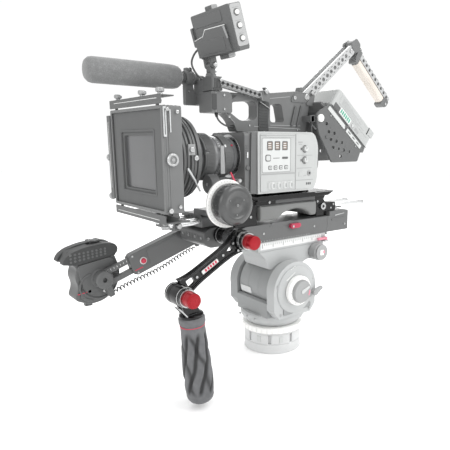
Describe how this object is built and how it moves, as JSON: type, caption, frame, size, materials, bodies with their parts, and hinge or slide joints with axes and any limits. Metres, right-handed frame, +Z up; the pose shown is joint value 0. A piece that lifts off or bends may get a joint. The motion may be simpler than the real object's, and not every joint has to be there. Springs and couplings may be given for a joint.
{
  "type": "cinema camera rig",
  "caption": "Shoulder-rigged cinema camera with matte box, follow focus, front handles and a rear battery, carried on a tilting fluid head.",
  "frame": {"origin": "centre of the underside of the head's flat base", "axes": "+Z up; +X to the operator's side; the lens points along -Y"},
  "size_m": [0.356, 0.9627, 0.813],
  "materials": {
    "head_paint": "light grey powder coat",
    "pale_ring": "white moulded ring",
    "grey_plastic": "mid grey moulded plastic",
    "red_lever": "red anodised",
    "slate_metal": "dark grey anodised",
    "black_gloss": "black gloss anodised",
    "rod_steel": "satin steel",
    "pad_rubber": "closed-cell foam rubber",
    "red_button": "red anodised",
    "grip_rubber": "soft moulded rubber",
    "remote_plastic": "textured black plastic",
    "key_plastic": "moulded keys",
    "camera_grey": "light grey magnesium paint",
    "camera_dark": "dark grey paint",
    "circuit": "circuit board",
    "lens_black": "black lens coating",
    "lens_glass": "coated optical glass",
    "hood_black": "dark grey coating",
    "handle_dark": "dark grey composite",
    "view_dark": "dark grey plastic",
    "mic_foam": "open foam",
    "cheese_alloy": "clear anodised",
    "grip_wood": "oiled beech",
    "bracket_dark": "dark grey powder coat",
    "battery_grey": "light grey plastic",
    "cable_black": "black cable jacket"
  },
  "bodies": {
    "head_base": {"flat_base": "head_paint"},
    "pan_ring": {"pan_lock_ring": "pale_ring"},
    "pan_stage": {"head_housing": "head_paint"},
    "tilt_stage": {"tilt_platform": "head_paint"},
    "drag_dial": {"tilt_drag_dial": "pale_ring"},
    "balance_dial": {"counterbalance_dial": "grey_plastic"},
    "tilt_lock": {"tilt_lock_lever": "grey_plastic"},
    "platform_lock": {"platform_lock_lever": "red_lever"},
    "rig": {"tripod_adapter_plate": "slate_metal", "base_plate": "black_gloss", "rear_rod_block": "black_gloss", "support_rods": "rod_steel", "shoulder_pad": "pad_rubber", "handle_bracket": "slate_metal", "main_shell": "camera_grey", "front_housing": "camera_dark", "control_panel": "camera_grey", "sensor_board": "circuit", "lens_barrel": "lens_black", "lens_elements": "lens_glass", "follow_focus_body": "slate_metal", "matte_box_hood": "hood_black", "filter_stage": "hood_black", "top_handle": "handle_dark", "viewfinder_rail": "cheese_alloy", "shotgun_microphone": "mic_foam", "mic_holder": "handle_dark", "viewfinder_cable": "cable_black", "audio_cable": "cable_black", "power_cable": "cable_black"},
    "release_lever": {"adapter_release_lever": "red_lever"},
    "near_arm_body": {"near_arm": "black_gloss"},
    "near_button": {"near_arm_button": "red_button"},
    "near_grip": {"grip_link": "black_gloss", "rubber_grip": "grip_rubber"},
    "knuckle_button": {"grip_button": "red_button"},
    "far_arm_body": {"far_arm": "slate_metal", "curly_cord": "cable_black"},
    "far_slide": {"far_arm_slide": "slate_metal"},
    "extension_lock": {"extension_lock_button": "red_button"},
    "remote": {"remote_grip": "remote_plastic"},
    "zoom_rocker": {"remote_rocker": "key_plastic"},
    "record_key": {"remote_record_button": "red_button"},
    "upper_dial": {"audio_dial_upper": "camera_grey"},
    "lower_dial": {"audio_dial_lower": "camera_grey"},
    "fan": {"cooling_fan": "key_plastic"},
    "focus_barrel": {"focus_ring": "lens_black"},
    "iris_barrel": {"iris_ring": "lens_black"},
    "drive_gear": {"focus_drive_gear": "slate_metal"},
    "hand_wheel": {"focus_wheel": "black_gloss"},
    "top_flag_body": {"top_flag": "hood_black"},
    "bottom_flag_body": {"bottom_flag": "hood_black"},
    "side_flag_body": {"side_flag": "hood_black"},
    "view_post": {"viewfinder_post": "handle_dark"},
    "view_screen": {"viewfinder": "view_dark"},
    "rear_arm": {"lower_cheese_arm": "cheese_alloy"},
    "rear_grip": {"upper_cheese_arm": "cheese_alloy", "wooden_grip": "grip_wood"},
    "bracket": {"battery_bracket": "bracket_dark"},
    "battery_pack": {"battery": "battery_grey"}
  },
  "joints": [
    {"name": "pan", "type": "hinge", "parent": "head_base", "child": "pan_stage", "pos_m": [0, 0, 0.072], "axis": [0, 0, 1], "continuous": true},
    {"name": "pan_lock", "type": "hinge", "parent": "head_base", "child": "pan_ring", "pos_m": [0, 0, 0.064], "axis": [0, 0, 1], "range_deg": [-20, 20]},
    {"name": "tilt", "type": "hinge", "parent": "pan_stage", "child": "tilt_stage", "pos_m": [0, 0, 0.174], "axis": [1, 0, 0], "range_deg": [-60, 60]},
    {"name": "tilt_drag", "type": "hinge", "parent": "pan_stage", "child": "drag_dial", "pos_m": [0.1, 0, 0.174], "axis": [1, 0, 0], "range_deg": [-150, 150]},
    {"name": "counterbalance", "type": "hinge", "parent": "pan_stage", "child": "balance_dial", "pos_m": [-0.1, 0, 0.174], "axis": [1, 0, 0], "range_deg": [-150, 150]},
    {"name": "tilt_lock_turn", "type": "hinge", "parent": "pan_stage", "child": "tilt_lock", "pos_m": [0.1, 0.059, 0.158], "axis": [1, 0, 0], "range_deg": [-30, 40]},
    {"name": "platform_lock_turn", "type": "hinge", "parent": "tilt_stage", "child": "platform_lock", "pos_m": [0.057, 0.14, 0.284], "axis": [0, 0, 1], "range_deg": [0, 45]},
    {"name": "balance_slide", "type": "slide", "parent": "tilt_stage", "child": "rig", "axis": [0, 1, 0], "range_m": [-0.04, 0.04]},
    {"name": "release_turn", "type": "hinge", "parent": "rig", "child": "release_lever", "pos_m": [0.055, 0.019, 0.33], "axis": [1, 0, 0], "range_deg": [0, 60]},
    {"name": "near_arm_swing", "type": "hinge", "parent": "rig", "child": "near_arm_body", "pos_m": [0.127, -0.201, 0.335], "axis": [1, 0, 0], "range_deg": [-20, 45]},
    {"name": "near_button_press", "type": "slide", "parent": "near_arm_body", "child": "near_button", "axis": [1, 0, 0], "range_m": [-0.005, 0], "stiffness_N_per_m": 600},
    {"name": "near_grip_swing", "type": "hinge", "parent": "near_arm_body", "child": "near_grip", "pos_m": [0.15, -0.361, 0.247], "axis": [1, 0, 0], "range_deg": [-60, 50]},
    {"name": "knuckle_button_press", "type": "slide", "parent": "near_grip", "child": "knuckle_button", "axis": [1, 0, 0], "range_m": [-0.005, 0], "stiffness_N_per_m": 600},
    {"name": "far_arm_swing", "type": "hinge", "parent": "rig", "child": "far_arm_body", "pos_m": [-0.077, -0.179, 0.324], "axis": [1, 0, 0], "range_deg": [-4, 45]},
    {"name": "far_arm_extend", "type": "slide", "parent": "far_arm_body", "child": "far_slide", "axis": [0, -0.9483, -0.3173], "range_m": [0, 0.05]},
    {"name": "extension_lock_press", "type": "slide", "parent": "far_arm_body", "child": "extension_lock", "axis": [1, 0, 0], "range_m": [-0.0018, 0], "stiffness_N_per_m": 600},
    {"name": "remote_swivel", "type": "hinge", "parent": "far_slide", "child": "remote", "pos_m": [-0.09, -0.42746, 0.24087], "axis": [1, 0, 0], "range_deg": [-40, 60]},
    {"name": "zoom_rock", "type": "hinge", "parent": "remote", "child": "zoom_rocker", "pos_m": [-0.121, -0.428, 0.312], "axis": [0, 1, 0], "range_deg": [-6, 6], "stiffness_Nm_per_rad": 0.08},
    {"name": "record_press", "type": "slide", "parent": "remote", "child": "record_key", "axis": [1, 0, 0], "range_m": [-0.0015, 0], "stiffness_N_per_m": 400},
    {"name": "upper_dial_turn", "type": "hinge", "parent": "rig", "child": "upper_dial", "pos_m": [0.078, 0.039, 0.523], "axis": [1, 0, 0], "range_deg": [-140, 140]},
    {"name": "lower_dial_turn", "type": "hinge", "parent": "rig", "child": "lower_dial", "pos_m": [0.078, 0.039, 0.496], "axis": [1, 0, 0], "range_deg": [-140, 140]},
    {"name": "fan_spin", "type": "hinge", "parent": "rig", "child": "fan", "pos_m": [-0.055, 0.017, 0.472], "axis": [1, 0, 0], "continuous": true},
    {"name": "focus_turn", "type": "hinge", "parent": "rig", "child": "focus_barrel", "pos_m": [0, -0.219, 0.507], "axis": [0, 1, 0], "range_deg": [-70, 70]},
    {"name": "iris_turn", "type": "hinge", "parent": "rig", "child": "iris_barrel", "pos_m": [0, -0.169, 0.507], "axis": [0, 1, 0], "range_deg": [-35, 35]},
    {"name": "drive_gear_turn", "type": "hinge", "parent": "rig", "child": "drive_gear", "pos_m": [0.0485, -0.219, 0.4492], "axis": [0, 1, 0], "range_deg": [-170, 170]},
    {"name": "hand_wheel_turn", "type": "hinge", "parent": "rig", "child": "hand_wheel", "pos_m": [0.116, -0.225, 0.413], "axis": [1, 0, 0], "range_deg": [-170, 170]},
    {"name": "top_flag_fold", "type": "hinge", "parent": "rig", "child": "top_flag_body", "pos_m": [0, -0.365, 0.6165], "axis": [1, 0, 0], "range_deg": [0, 28]},
    {"name": "bottom_flag_fold", "type": "hinge", "parent": "rig", "child": "bottom_flag_body", "pos_m": [0, -0.365, 0.394], "axis": [1, 0, 0], "range_deg": [-110, 0]},
    {"name": "side_flag_fold", "type": "hinge", "parent": "rig", "child": "side_flag_body", "pos_m": [-0.129, -0.365, 0.50525], "axis": [0, 0, 1], "range_deg": [0, 110]},
    {"name": "view_swing", "type": "hinge", "parent": "rig", "child": "view_post", "pos_m": [0.006, -0.185, 0.682], "axis": [0, 0, 1], "range_deg": [0, 40]},
    {"name": "view_tilt", "type": "hinge", "parent": "view_post", "child": "view_screen", "pos_m": [0.006, -0.185, 0.705], "axis": [1, 0, 0], "range_deg": [-35, 30]},
    {"name": "rear_arm_fold", "type": "hinge", "parent": "rig", "child": "rear_arm", "pos_m": [0, 0.099, 0.652], "axis": [1, 0, 0], "range_deg": [-4, 60]},
    {"name": "elbow_fold", "type": "hinge", "parent": "rear_arm", "child": "rear_grip", "pos_m": [0, 0.285, 0.798], "axis": [1, 0, 0], "range_deg": [-15, 50]},
    {"name": "bracket_tilt", "type": "hinge", "parent": "rig", "child": "bracket", "pos_m": [0, 0.107, 0.598], "axis": [1, 0, 0], "range_deg": [-8, 6]},
    {"name": "battery_release", "type": "slide", "parent": "bracket", "child": "battery_pack", "axis": [0, -0.7887, 0.6147], "range_m": [0, 0.02]}
  ],
  "couplings": [
    {"joint": "drive_gear_turn", "follows": "focus_turn", "ratio": -2.4091},
    {"joint": "hand_wheel_turn", "follows": "focus_turn", "ratio": 2.4091}
  ]
}
